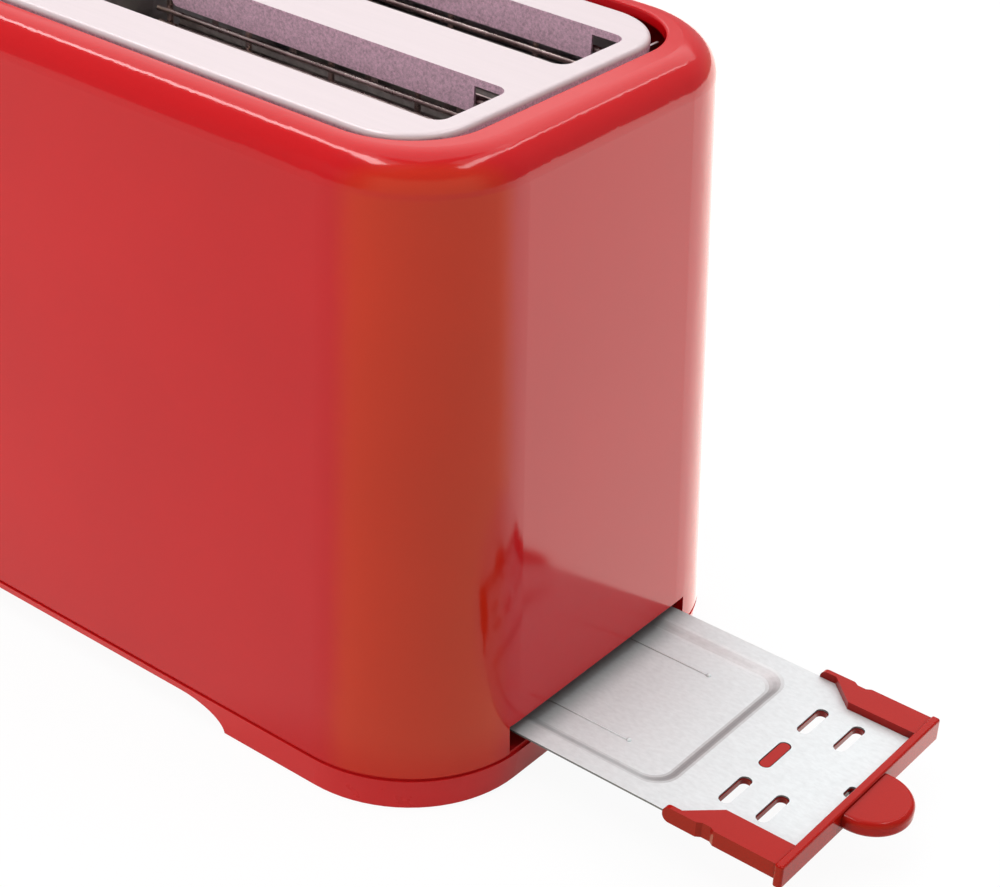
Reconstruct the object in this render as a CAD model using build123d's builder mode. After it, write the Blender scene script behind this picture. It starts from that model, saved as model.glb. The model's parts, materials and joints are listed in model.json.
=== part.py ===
# Pop up toaster with two bread slots, built as separate pieces in one frame.
# Millimetres. X runs along the toaster to the crumb tray end, Y runs across it and
# Z runs up from the table. Sizes are set out from the middle of the housing, and each piece
# is moved on saving so that the origin is the middle of the whole outline on the table.
# The rest pose is the pictured one: lever up and crumb tray drawn part of the way out.

import math
import os

from build123d import *

# Driving sizes of the housing
body_length = 262.0
body_width = 155.0
seam_z = 11.5
rim_z = 185.5
end_draft = 3.6
side_draft = 2.1
corner_low = 39.8
corner_high = 36.0
shoulder_radius = 10.0
wall = 2.6
rim_wall = 3.0
rim_band_end = 14.65
rim_band_side = 11.5
rim_gap = 4.0

# Driving sizes of the top plate
sheet = 0.7
plate_drop = 0.5
plate_corner = 20.0
plate_skirt = 4.0
plate_round = 1.6
slot_width = 28.5
bridge = 22.2
slot_end_margin = 6.0
mechanism_length = 66.8
slot_corner = 4.0
flange_depth = 9.5
flange_inset = 11.5
flange_corner = 2.0
lip_depth = 2.2
plate_tab_width = 8.0
plate_tab_pitch = 26.0

# Driving sizes of the base
foot_lift = 0.6
base_inset = 1.2
base_floor = 3.3
base_wall = 3.0
foot_length = 73.6
arch_run = 16.0
reveal_depth = 0.8
reveal_height = 1.2
base_lip = 1.8
base_lip_height = 4.0
rubber_radius = 7.0
rubber_height = 2.4
rubber_rim = 1.6
rubber_end_inset = 28.0

# Driving sizes of the crumb tray and its handle
tray_out = 85.6
tray_width = 78.0
tray_top = 17.4
tray_sheet = 0.6
pan_depth = 1.6
pan_slope = 4.4
pan_side_margin = 6.0
pan_front_margin = 39.2
opening_width = 83.4
opening_top = 20.5
bar_thickness = 2.6
bar_width = 82.0
bar_low = 13.1
bar_high = 20.4
arm_length = 34.6
arm_width = 9.4
arm_overhang = 1.2
arm_low = 15.1
arm_top = 19.9
finger_width = 1.5
tab_width = 24.0
tab_reach = 13.6
tab_low = 14.6
tab_high = 19.4

# Driving sizes of the chassis, heaters and guards
chassis_sheet = 0.8
web_gap = 1.0
guard_wire = 0.9
guard_bar = 0.8
guard_pitch = 30.0
guard_drop = 143.0
guard_pivot = 1.0
guard_pivot_drop = 7.0
heater_gap = 4.9
heater_margin = 17.0
heater_height = 128.0
mica = 0.8
ribbon = 0.25
ribbon_height = 2.0
ribbon_pitch = 10.0
side_gap = 4.8

# Driving sizes of the carriage and lever
lever_travel = 55.0
lifter_depth = 83.0
lifter_width = 8.0
lifter_sheet = 1.0
lifter_height = 8.0
carriage_sheet = 1.2
carriage_gap = 14.4
rod_radius = 3.0
rod_offset = 14.0
lever_arm_height = 8.0
lever_arm_sheet = 2.0
knob_width = 38.0
knob_height = 15.0
knob_depth = 17.0

# Driving sizes of the control end
dial_z = 42.0
dial_radius = 15.0
dial_depth = 12.0
button_width = 15.0
button_height = 9.0
button_pitch = 22.0
button_rise = 25.5
button_travel = 1.8
board_depth = 17.0
board_sheet = 1.6
cord_hole_radius = 3.3

# Clearances
running = 0.05
snug = 0.02
sliding = 0.4
loose = 0.3

# Levels and slopes that follow from the driving sizes
rise = rim_z - seam_z
end_slope = math.tan(math.radians(end_draft))
side_slope = math.tan(math.radians(side_draft))
plate_z = rim_z - plate_drop
skirt_z = plate_z - plate_skirt
floor_z = seam_z - base_floor


def end_face(z):
    """Distance from the middle to the outer face of either end at height z."""
    return body_length / 2 - (z - seam_z) * end_slope


def side_face(z):
    """Distance from the middle to the outer face of either long side at height z."""
    return body_width / 2 - (z - seam_z) * side_slope


def corner_at(z):
    """Radius of the housing's upright corners at height z."""
    return corner_low + (corner_high - corner_low) * (z - seam_z) / rise


# Plan of the plate, the slots and the chassis
plate_length = 2 * (end_face(rim_z) - rim_band_end - rim_gap)
plate_width = 2 * (side_face(rim_z) - rim_band_side - rim_gap)
slot_x1 = plate_length / 2 - slot_end_margin
slot_x0 = -plate_length / 2 + mechanism_length
slot_length = slot_x1 - slot_x0
slot_middle = (slot_x0 + slot_x1) / 2
slot_inner = bridge / 2
slot_outer = slot_inner + slot_width
slot_centre = (slot_inner + slot_outer) / 2
web_lever = slot_x0 - web_gap
web_tray = slot_x1 + web_gap
guard_outer = slot_outer + sheet + 0.5 + guard_wire
guard_inner = slot_inner - sheet - 0.5 - guard_wire
heater_y = guard_outer + heater_gap
side_y = heater_y + side_gap
chassis_half = side_y + chassis_sheet
lifter_z = plate_z - lifter_depth

# Plan of the crumb tray
bar_front = body_length / 2 + tray_out
bar_back = bar_front - bar_thickness
tray_end = web_lever + 1.5 + tray_out
tray_half = tray_width / 2
arm_outer = tray_half + arm_overhang
arm_inner = arm_outer - arm_width
arm_tip = bar_back - arm_length

# Frame of the control end: its outer face, looking out of the lever end
control_normal = (-math.cos(math.radians(end_draft)), 0, math.sin(math.radians(end_draft)))
control_origin = (-end_face(dial_z), 0, dial_z)
control = Plane(origin=control_origin, x_dir=(0, -1, 0), z_dir=control_normal)
button_places = [(-button_pitch, button_rise), (0, button_rise), (button_pitch, button_rise)]
board_low = -22.0
board_high = 35.0
board_half = 34.0
boss_places = [(u, v) for u in (-30.0, 30.0) for v in (board_low + 4.0, button_rise - 12.5)]
boss_radius = 3.5

# Places of the fasteners
post_reach = (corner_low - wall - 5.4) / math.sqrt(2)
post_x = body_length / 2 - corner_low + post_reach
post_y = body_width / 2 - corner_low + post_reach
post_radius = 4.5
post_places = [(sx * post_x, sy * post_y) for sx in (-1, 1) for sy in (-1, 1)]
chassis_foot = 11.0
foot_screw_y = (arm_outer + 3.5 + chassis_half) / 2
foot_screw_places = [
    (web_tray + 6.0, -foot_screw_y),
    (web_tray + 6.0, foot_screw_y),
    (web_lever - 6.0, -foot_screw_y),
    (web_lever - 6.0, foot_screw_y),
]
screw_radius = 1.5
screw_head_radius = 3.0
screw_head_height = 1.6
rubber_x = body_length / 2 - rubber_end_inset
rubber_y = foot_screw_y - screw_head_radius - loose - rubber_rim - rubber_radius
rubber_places = [(sx * rubber_x, sy * rubber_y) for sx in (-1, 1) for sy in (-1, 1)]

# Cord gland in the base floor near the back, with a notch in the skirt for the cord
gland_x = -body_length / 2 + 47.0
gland_y = body_width / 2 - 12.5

# Ends of the pictured outline, whose middle is the origin
lifter_low = lifter_z - lifter_height
arm_high = lifter_z + 45.0
lever_slot_low = arm_high - lever_arm_height - lever_travel - 2.0
lever_slot_high = arm_high + 2.0
knob_back = -end_face(lever_slot_low) - 1.0
outline_middle = (bar_front + tab_reach + knob_back - knob_depth) / 2

os.makedirs("parts", exist_ok=True)


def save(builder, name):
    """Label one finished piece, move it to the object's origin and write its file."""
    piece = builder.part.moved(Location((-outline_middle, 0, 0)))
    piece.label = name
    export_step(piece, "parts/" + name + ".step")


def block(x_limits, y_limits, z_limits, mode=Mode.ADD):
    """Add or cut a straight block between two limits on each axis."""
    limits = (x_limits, y_limits, z_limits)
    middle = tuple((low + high) / 2 for low, high in limits)
    size = [high - low for low, high in limits]
    with Locations(middle):
        Box(size[0], size[1], size[2], mode=mode)


def tapered_block(low_z, high_z, inset, top_radius):
    """Solid that follows the housing's leaning faces, inset from them."""
    with BuildPart() as solid:
        for z in (low_z, high_z):
            with BuildSketch(Plane.XY.offset(z)):
                RectangleRounded(
                    2 * (end_face(z) - inset), 2 * (side_face(z) - inset), corner_at(z) - inset
                )
        loft(ruled=True)
        fillet(solid.edges().group_by(Axis.Z)[-1], top_radius)
    return solid.part


# Housing shell
shell_outside = tapered_block(seam_z, rim_z, 0, shoulder_radius)
shell_inside = tapered_block(seam_z - 1, rim_z - rim_wall, wall, shoulder_radius - wall)
rim_length = plate_length + 2 * rim_gap
rim_width = plate_width + 2 * rim_gap
lever_slot_half = lever_arm_sheet / 2 + 2.0

with BuildPart() as body_shell:
    add(shell_outside)
    add(shell_inside, mode=Mode.SUBTRACT)
    # Opening that the top plate stands in, with a softened inner edge
    with BuildSketch(Plane.XY.offset(rim_z)):
        RectangleRounded(rim_length, rim_width, plate_corner + rim_gap)
    extrude(amount=-rim_wall - 1, mode=Mode.SUBTRACT)
    rim_edges = body_shell.edges().filter_by_position(Axis.Z, rim_z - 0.01, rim_z + 0.01)
    inner_edges = rim_edges.filter_by_position(Axis.X, -rim_length / 2 - 1, rim_length / 2 + 1)
    inner_edges = inner_edges.filter_by_position(Axis.Y, -rim_width / 2 - 1, rim_width / 2 + 1)
    fillet(inner_edges, 0.8)
    # Screw posts in the four corners
    with BuildSketch(Plane.XY.offset(seam_z)):
        with Locations(*post_places):
            Circle(post_radius)
    extrude(amount=32)
    with BuildSketch(Plane.XY.offset(seam_z)):
        with Locations(*post_places):
            Circle(screw_radius + snug)
    extrude(amount=20, mode=Mode.SUBTRACT)
    # Crumb tray opening in the lower edge of the tray end
    block(
        (body_length / 2 - 20, body_length / 2 + 5),
        (-opening_width / 2, opening_width / 2),
        (seam_z - 1, opening_top),
        Mode.SUBTRACT,
    )
    # Lever slot in the other end
    with BuildSketch(Plane.YZ.offset(-body_length / 2 - 5)):
        with Locations((0, (lever_slot_low + lever_slot_high) / 2)):
            SlotOverall(lever_slot_high - lever_slot_low, 2 * lever_slot_half, rotation=90)
    extrude(amount=35, mode=Mode.SUBTRACT)
    # Board bosses behind the control face
    with BuildSketch(control.offset(-wall + 0.2)):
        with Locations(*boss_places):
            Circle(boss_radius)
    extrude(amount=-(board_depth - wall + 0.2))
    with BuildSketch(control.offset(-board_depth)):
        with Locations(*boss_places):
            Circle(1.25 + snug)
    extrude(amount=10, mode=Mode.SUBTRACT)
    # Holes for the dial hub and the buttons
    with BuildSketch(control.offset(1)):
        Circle(5.5 + loose)
        with Locations(*button_places):
            RectangleRounded(button_width + 2 * loose, button_height + 2 * loose, 3.0 + loose)
    extrude(amount=-wall - 3, mode=Mode.SUBTRACT)
save(body_shell, "body_shell")

# Base with corner feet, arches along the sides and rails for the tray
rail_x0 = web_lever + 0.6
rail_x1 = arm_tip - tray_out - 1.0
rail_outer = tray_half + sliding + 2.2
arch_start = body_length / 2 - foot_length
arch_rise = floor_z - foot_lift
base_low_size = (body_length - 2 * base_inset, body_width - 2 * base_inset, corner_low - base_inset)

with BuildPart() as lip_ring:
    with BuildSketch(Plane.XY.offset(seam_z)):
        RectangleRounded(
            body_length - 2 * (wall + sliding + 0.3),
            body_width - 2 * (wall + sliding + 0.3),
            corner_low - wall - sliding - 0.3,
        )
        offset(amount=-base_lip, mode=Mode.SUBTRACT)
    extrude(amount=base_lip_height)
    with BuildSketch(Plane.XY.offset(seam_z)):
        with Locations(*post_places):
            Circle(post_radius + 1.0)
    extrude(amount=base_lip_height, mode=Mode.SUBTRACT)
    block(
        (body_length / 2 - 20, body_length / 2),
        (-opening_width / 2 - 1, opening_width / 2 + 1),
        (seam_z, seam_z + base_lip_height),
        Mode.SUBTRACT,
    )

with BuildPart() as foot_pockets:
    with BuildSketch(Plane.XY.offset(foot_lift - 1)):
        RectangleRounded(
            base_low_size[0] - 2 * base_wall,
            base_low_size[1] - 2 * base_wall,
            base_low_size[2] - base_wall,
        )
        Rectangle(2 * (arch_start + base_wall + 2.0), body_width, mode=Mode.SUBTRACT)
    extrude(amount=arch_rise + 1)
    with BuildSketch(Plane.XY.offset(rubber_height)):
        with Locations(*rubber_places):
            Circle(rubber_radius + rubber_rim)
    extrude(amount=floor_z, mode=Mode.SUBTRACT)

with BuildPart() as base:
    with BuildSketch(Plane.XY.offset(foot_lift)):
        RectangleRounded(*base_low_size)
    with BuildSketch(Plane.XY.offset(seam_z - reveal_height)):
        RectangleRounded(body_length, body_width, corner_low)
    loft(ruled=True)
    with BuildSketch(Plane.XY.offset(seam_z - reveal_height)):
        RectangleRounded(
            body_length - 2 * reveal_depth, body_width - 2 * reveal_depth, corner_low - reveal_depth
        )
    extrude(amount=reveal_height)
    # Arches between the feet along both long sides
    with BuildSketch(Plane.XZ):
        with BuildLine():
            Polyline((-arch_start, foot_lift - 1), (-arch_start, foot_lift))
            EllipticalCenterArc((-arch_start + arch_run, foot_lift), arch_run, arch_rise, 90)
            Line((-arch_start + arch_run, floor_z), (arch_start - arch_run, floor_z))
            EllipticalCenterArc((arch_start - arch_run, foot_lift), arch_run, arch_rise, 0)
            Polyline(
                (arch_start, foot_lift), (arch_start, foot_lift - 1), (-arch_start, foot_lift - 1)
            )
        make_face()
    extrude(amount=body_width, both=True, mode=Mode.SUBTRACT)
    add(foot_pockets.part, mode=Mode.SUBTRACT)
    add(lip_ring.part)
    # Rails that carry the tray by its long edges
    for side in (-1, 1):
        for low_y, high_y, low_z, high_z in (
            (tray_half - 3.5, rail_outer, seam_z, tray_top - tray_sheet - 0.1),
            (tray_half + sliding, rail_outer, seam_z, tray_top + 2.2),
            (tray_half - 2.0, rail_outer, tray_top + sliding, tray_top + 2.2),
        ):
            y_limits = sorted((side * low_y, side * high_y))
            block((rail_x0, rail_x1), y_limits, (low_z, high_z))
    # Screw holes with room for the heads, and the holes for the rubber feet
    with BuildSketch(Plane.XY.offset(floor_z - 1)):
        with Locations(*post_places, *foot_screw_places):
            Circle(screw_radius + 0.2)
    extrude(amount=base_floor + 2, mode=Mode.SUBTRACT)
    with BuildSketch(Plane.XY.offset(floor_z - 1)):
        with Locations(*post_places, *foot_screw_places):
            Circle(screw_head_radius + loose)
    extrude(amount=1 + screw_head_height + 0.2, mode=Mode.SUBTRACT)
    with BuildSketch(Plane.XY.offset(rubber_height)):
        with Locations(*rubber_places):
            Circle(3.0 + snug)
    extrude(amount=4.0, mode=Mode.SUBTRACT)
    # Cord gland hole and the notch that lets a cord out under the skirt
    with BuildSketch(Plane.XY.offset(floor_z - 1)):
        with Locations((gland_x, gland_y)):
            Circle(cord_hole_radius + 2.0 + snug)
    extrude(amount=base_floor + 2, mode=Mode.SUBTRACT)
    with BuildSketch(Plane.XZ.offset(-body_width / 2 - 5)):
        with Locations((gland_x, foot_lift)):
            RectangleRounded(8.0, 11.6, 3.9)
    extrude(amount=11.0, mode=Mode.SUBTRACT)
save(base, "base")

# Rubber feet, each with a peg in the base
with BuildPart() as rubber_feet:
    with BuildSketch():
        with Locations(*rubber_places):
            Circle(rubber_radius)
    extrude(amount=rubber_height)
    chamfer(rubber_feet.edges().group_by(Axis.Z)[0], 0.5)
    with BuildSketch(Plane.XY.offset(rubber_height)):
        with Locations(*rubber_places):
            Circle(3.0)
    extrude(amount=3.8)
save(rubber_feet, "rubber_feet")


def floor_screws(places, reach):
    """Screws driven up through the base floor, heads in its counterbores."""
    seat = floor_z + screw_head_height + 0.2
    with BuildPart() as screws:
        with BuildSketch(Plane.XY.offset(seat)):
            with Locations(*places):
                Circle(screw_head_radius)
        extrude(amount=-screw_head_height)
        with BuildSketch(Plane.XY.offset(seat)):
            with Locations(*places):
                Circle(screw_radius)
        extrude(amount=reach)
        for x, y in places:
            block((x - 1.7, x + 1.7), (y - 0.35, y + 0.35), (floor_z, seat - 0.8), Mode.SUBTRACT)
            block((x - 0.35, x + 0.35), (y - 1.7, y + 1.7), (floor_z, seat - 0.8), Mode.SUBTRACT)
    return screws


body_screws = floor_screws(post_places, 18.0)
save(body_screws, "body_screws")
chassis_screws = floor_screws(foot_screw_places, 7.0)
save(chassis_screws, "chassis_screws")

# Top plate with rolled slot edges and folded flanges
plate_tab_places = (-plate_tab_pitch / 2, plate_tab_pitch / 2)

with BuildPart() as plate_hollow:
    with BuildSketch(Plane.XY.offset(skirt_z - 1)):
        RectangleRounded(plate_length - 2 * sheet, plate_width - 2 * sheet, plate_corner - sheet)
    extrude(amount=plate_skirt + 1 - sheet)
    fillet(plate_hollow.edges().group_by(Axis.Z)[-1], plate_round - sheet)

with BuildPart() as top_plate:
    with BuildSketch(Plane.XY.offset(skirt_z)):
        RectangleRounded(plate_length, plate_width, plate_corner)
    extrude(amount=plate_skirt)
    fillet(top_plate.edges().group_by(Axis.Z)[-1], plate_round)
    add(plate_hollow.part, mode=Mode.SUBTRACT)
    for side in (-1, 1):
        # Rolled edge around the slot, then the slot itself
        with BuildSketch(Plane.XY.offset(plate_z - lip_depth)):
            with Locations((slot_middle, side * slot_centre)):
                RectangleRounded(slot_length + 2 * sheet, slot_width + 2 * sheet, slot_corner + sheet)
        extrude(amount=lip_depth)
        for edge_y in (slot_inner - sheet, slot_outer):
            y_high = max(side * edge_y, side * (edge_y + sheet))
            with BuildSketch(Plane.XZ.offset(-y_high)):
                with Locations((slot_middle, plate_z - flange_depth / 2)):
                    RectangleRounded(slot_length - 2 * flange_inset, flange_depth, flange_corner)
            extrude(amount=sheet)
        with BuildSketch(Plane.XY.offset(plate_z + 1)):
            with Locations((slot_middle, side * slot_centre)):
                RectangleRounded(slot_length, slot_width, slot_corner)
        extrude(amount=-flange_depth, mode=Mode.SUBTRACT)
    # Tabs that drop through the chassis flanges
    for end in (-1, 1):
        for y in plate_tab_places:
            x_limits = sorted((end * (plate_length / 2 - sheet), end * plate_length / 2))
            block(x_limits, (y - plate_tab_width / 2, y + plate_tab_width / 2), (skirt_z - 4, skirt_z))
save(top_plate, "top_plate")

# Chassis end plate at the tray end
flange_low = skirt_z - chassis_sheet
tray_flange_half = plate_width / 2 - 11.6
tray_cut_half = arm_outer + 3.0
flange_reach = 12.6
guide_low = lifter_low - lever_travel - 2.0
guide_high = lifter_z + 2.0
tab_slot = plate_tab_width / 2 + loose
pivot_z = plate_z - guard_pivot_drop
pivot_places = [(y, pivot_z) for y in (-guard_outer, -guard_inner, guard_inner, guard_outer)]

with BuildPart() as chassis_tray_end:
    block((web_tray, web_tray + chassis_sheet), (-chassis_half, chassis_half), (seam_z, skirt_z))
    block(
        (web_tray, web_tray + flange_reach),
        (-tray_flange_half, tray_flange_half),
        (flange_low, skirt_z),
    )
    block(
        (web_tray, web_tray + chassis_foot),
        (-chassis_half, chassis_half),
        (seam_z, seam_z + chassis_sheet),
    )
    block(
        (web_tray - 1, web_tray + chassis_foot + 1),
        (-tray_cut_half, tray_cut_half),
        (seam_z - 1, opening_top + 1.5),
        Mode.SUBTRACT,
    )
    for side in (-1, 1):
        y = side * slot_centre
        block(
            (web_tray - 1, web_tray + 2),
            (y - lifter_sheet / 2 - sliding, y + lifter_sheet / 2 + sliding),
            (guide_low, guide_high),
            Mode.SUBTRACT,
        )
    for y in plate_tab_places:
        block(
            (plate_length / 2 - sheet - loose, plate_length / 2 + loose),
            (y - tab_slot, y + tab_slot),
            (flange_low - 1, skirt_z + 1),
            Mode.SUBTRACT,
        )
    with BuildSketch(Plane.XY.offset(seam_z - 1)):
        with Locations(*foot_screw_places[:2]):
            Circle(screw_radius + snug)
    extrude(amount=3, mode=Mode.SUBTRACT)
    with BuildSketch(Plane.YZ.offset(web_tray - 1)):
        with Locations(*pivot_places):
            Circle(guard_pivot + running)
    extrude(amount=chassis_sheet + 2, mode=Mode.SUBTRACT)
save(chassis_tray_end, "chassis_tray_end")

# Chassis end plate at the lever end, with tongues that hold the guide rod
tongue_half = 22.0
tongue_end = -plate_length / 2 - 6.0
rod_x = web_lever - chassis_sheet - carriage_gap - carriage_sheet - 6.0
rod_y = -rod_offset

with BuildPart() as chassis_lever_end:
    block((web_lever - chassis_sheet, web_lever), (-chassis_half, chassis_half), (seam_z, skirt_z))
    block(
        (web_lever - chassis_foot, web_lever),
        (-chassis_half, chassis_half),
        (seam_z, seam_z + chassis_sheet),
    )
    for low, high in ((seam_z, seam_z + chassis_sheet), (flange_low, skirt_z)):
        block((tongue_end, web_lever), (-tongue_half, tongue_half), (low, high))
    for side in (-1, 1):
        y = side * slot_centre
        half = lifter_width / 2 + 0.8
        block(
            (web_lever - 2, web_lever + 1), (y - half, y + half), (guide_low, guide_high), Mode.SUBTRACT
        )
    for y in plate_tab_places:
        block(
            (-plate_length / 2 - loose, -plate_length / 2 + sheet + loose),
            (y - tab_slot, y + tab_slot),
            (flange_low - 1, skirt_z + 1),
            Mode.SUBTRACT,
        )
    with BuildSketch(Plane.XY.offset(seam_z - 1)):
        with Locations(*foot_screw_places[2:]):
            Circle(screw_radius + snug)
    extrude(amount=3, mode=Mode.SUBTRACT)
    with BuildSketch(Plane.XY.offset(flange_low - 1)):
        with Locations((rod_x, rod_y)):
            Circle(rod_radius + snug)
    extrude(amount=3, mode=Mode.SUBTRACT)
    with BuildSketch(Plane.YZ.offset(web_lever - chassis_sheet - 1)):
        with Locations(*pivot_places):
            Circle(guard_pivot + running)
    extrude(amount=chassis_sheet + 2, mode=Mode.SUBTRACT)
save(chassis_lever_end, "chassis_lever_end")


def side_panel(side):
    """Bright panel behind an outer heater, held between the end plates."""
    with BuildPart() as panel:
        y_limits = sorted((side * side_y, side * (side_y + chassis_sheet)))
        block((web_lever, web_tray), y_limits, (opening_top + 3.5, skirt_z - 2.0))
    return panel


chassis_side_front = side_panel(-1)
save(chassis_side_front, "chassis_side_front")
chassis_side_back = side_panel(1)
save(chassis_side_back, "chassis_side_back")

# Heater boards with tabs to the end plates, and the ribbon wound round them
heater_high = plate_z - heater_margin
heater_low = heater_high - heater_height
heater_x0 = web_lever + 4.6
heater_x1 = web_tray - 4.6
turn_count = int((heater_height - 6.0) / ribbon_pitch) + 1
turn_levels = [heater_low + 4.0 + ribbon_pitch * k for k in range(turn_count)]
tab_levels = (turn_levels[2] + ribbon_pitch / 2, turn_levels[-3] + ribbon_pitch / 2)


def heater_board(y):
    """Mica board standing in the middle plane y."""
    with BuildPart() as board:
        block((heater_x0, heater_x1), (y - mica / 2, y + mica / 2), (heater_low, heater_high))
        for z in tab_levels:
            block((web_lever, web_tray), (y - mica / 2, y + mica / 2), (z - 3.0, z + 3.0))
    return board


def heater_ribbon(y):
    """Turns of flat ribbon round the board in the plane y."""
    with BuildPart() as turns:
        for z in turn_levels:
            with BuildSketch(Plane.XY.offset(z - ribbon_height / 2)):
                with Locations(((heater_x0 + heater_x1) / 2, y)):
                    Rectangle(heater_x1 - heater_x0 + 2 * ribbon, mica + 2 * ribbon)
                    Rectangle(heater_x1 - heater_x0, mica, mode=Mode.SUBTRACT)
            extrude(amount=ribbon_height)
    return turns


for place, y in (("front", -heater_y), ("centre", 0.0), ("back", heater_y)):
    save(heater_board(y), "heater_board_" + place)
    save(heater_ribbon(y), "heater_ribbon_" + place)


# Bread guards: welded wire frames whose top wires turn in the end plates
pivot_end = chassis_sheet + 1.5
guard_places = []
guard_x = slot_x1 - 1.4
while guard_x > slot_x0 + 4.0:
    guard_places.append(guard_x)
    guard_x = guard_x - guard_pitch


def bread_guard(y, bar_shift):
    """Wire guard standing in the plane y, its bars shifted towards the slot."""
    low_z = plate_z - guard_drop
    with BuildPart() as guard:
        with BuildSketch(Plane.XY.offset(low_z)):
            with Locations(*[(x, y) for x in guard_places]):
                Circle(guard_wire)
        extrude(amount=pivot_z - low_z)
        with BuildSketch(Plane.YZ.offset(web_lever - pivot_end)):
            with Locations((y, pivot_z)):
                Circle(guard_pivot)
        extrude(amount=web_tray - web_lever + 2 * pivot_end)
        for drop in guard_bar_drops:
            with BuildSketch(Plane.YZ.offset(guard_places[-1] - 3.0)):
                with Locations((y + bar_shift, plate_z - drop)):
                    Circle(guard_bar)
            extrude(amount=guard_places[0] - guard_places[-1] + 4.0)
    return guard


weld = guard_wire + guard_bar - 0.2
guard_bar_drops = (12.0, 16.0, 75.0, guard_drop - 8.0)
save(bread_guard(-guard_outer, weld), "guard_front_outer")
save(bread_guard(-guard_inner, -weld), "guard_front_inner")
save(bread_guard(guard_inner, weld), "guard_back_inner")
save(bread_guard(guard_outer, -weld), "guard_back_outer")

# Guide rod for the carriage and the clip on its upper end
with BuildPart() as guide_rod:
    with BuildSketch(Plane.XY.offset(seam_z + chassis_sheet)):
        with Locations((rod_x, rod_y)):
            Circle(rod_radius)
    extrude(amount=skirt_z + 2.0 - seam_z - chassis_sheet)
    chamfer(guide_rod.edges().group_by(Axis.Z)[-1], 0.5)
save(guide_rod, "guide_rod")

with BuildPart() as rod_clip:
    with BuildSketch(Plane.XY.offset(skirt_z)):
        with Locations((rod_x, rod_y)):
            Circle(rod_radius + 2.2)
            Circle(rod_radius + snug, mode=Mode.SUBTRACT)
        with Locations((rod_x - rod_radius - 1.5, rod_y)):
            Rectangle(4.0, 2.4, mode=Mode.SUBTRACT)
    extrude(amount=0.9)
save(rod_clip, "rod_clip")

# Carriage: upright plate, lever arm, armature shelf and spring ear in one pressing
plate_x1 = web_lever - chassis_sheet - carriage_gap
plate_x0 = plate_x1 - carriage_sheet
carriage_half = slot_centre + 5.0
magnet_x = plate_x0 - 13.0
magnet_y = 12.0
shelf_half = 10.0
spring_y = rod_offset
spring_x = rod_x
arm_end = knob_back - knob_depth + 5.0

with BuildPart() as carriage:
    block((plate_x0, plate_x1), (-carriage_half, carriage_half), (lifter_low, arm_high))
    block(
        (arm_end, plate_x0),
        (-lever_arm_sheet / 2, lever_arm_sheet / 2),
        (arm_high - lever_arm_height, arm_high),
    )
    block(
        (magnet_x - shelf_half, plate_x0),
        (magnet_y - shelf_half, magnet_y + shelf_half),
        (lifter_low, lifter_low + carriage_sheet),
    )
    block(
        (spring_x - 5.0, plate_x0),
        (spring_y - 4.0, spring_y + 4.0),
        (arm_high - carriage_sheet, arm_high),
    )
save(carriage, "carriage")

# Bush that slides on the guide rod
with BuildPart() as carriage_bush:
    block(
        (rod_x - 6.0, plate_x0), (rod_y - 7.0, rod_y + 7.0), (lifter_low + 4.0, arm_high - 6.0)
    )
    with BuildSketch(Plane.XY.offset(lifter_low)):
        with Locations((rod_x, rod_y)):
            Circle(rod_radius + running)
    extrude(amount=arm_high, mode=Mode.SUBTRACT)
    fillet(carriage_bush.edges().filter_by(Axis.Z).group_by(Axis.X)[0], 2.0)
save(carriage_bush, "carriage_bush")


def bread_lifter(side):
    """Tee shaped rack under one slice, with a weld tab and a guide tongue."""
    y = side * slot_centre
    half = lifter_width / 2
    with BuildPart() as lifter:
        with BuildSketch(Plane.YZ.offset(plate_x1)):
            with Locations((y, lifter_z - lifter_height / 2)):
                Rectangle(lifter_sheet, lifter_height)
            with Locations((y, lifter_z - lifter_sheet / 2)):
                Rectangle(lifter_width, lifter_sheet)
        extrude(amount=web_tray - 4.0 - plate_x1)
        block(
            (web_tray - 4.5, web_tray + 3.0),
            (y - lifter_sheet / 2, y + lifter_sheet / 2),
            (lifter_low, lifter_z - lifter_sheet),
        )
        block(
            (plate_x1, plate_x1 + lifter_sheet), (y - half, y + half), (lifter_low, lifter_z)
        )
        # Waists between the carrying fingers
        finger = slot_x0 + 6.0
        while finger < slot_x1 - 12.0:
            for edge in (-1, 1):
                y_limits = sorted((y + edge * (half - 2.0), y + edge * (half + 1.0)))
                block((finger, finger + 7.0), y_limits, (lifter_z - 2, lifter_z + 1), Mode.SUBTRACT)
            finger = finger + 14.0
    return lifter


bread_lifter_front = bread_lifter(-1)
save(bread_lifter_front, "bread_lifter_front")
bread_lifter_back = bread_lifter(1)
save(bread_lifter_back, "bread_lifter_back")

# Armature under the shelf
armature_sheet = 2.0
with BuildPart() as armature:
    block(
        (magnet_x - shelf_half + 1, magnet_x + shelf_half - 1),
        (magnet_y - shelf_half + 1, magnet_y + shelf_half - 1),
        (lifter_low - armature_sheet, lifter_low),
    )
    fillet(armature.edges().filter_by(Axis.Z), 1.5)
save(armature, "armature")

# Lever knob on the end of the arm
knob_middle = arm_high - lever_arm_height / 2
with BuildPart() as lever_knob:
    with BuildSketch(Plane.YZ.offset(knob_back)):
        with Locations((0, knob_middle)):
            RectangleRounded(knob_width, knob_height, knob_height / 2 - 1.0)
    extrude(amount=-knob_depth, taper=4)
    fillet(lever_knob.faces().sort_by(Axis.X)[0].edges(), 3.0)
    fillet(lever_knob.faces().sort_by(Axis.X)[-1].edges(), 0.8)
    block(
        (arm_end - snug, knob_back + 1),
        (-lever_arm_sheet / 2 - snug, lever_arm_sheet / 2 + snug),
        (arm_high - lever_arm_height - snug, arm_high + snug),
        Mode.SUBTRACT,
    )
save(lever_knob, "lever_knob")

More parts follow.
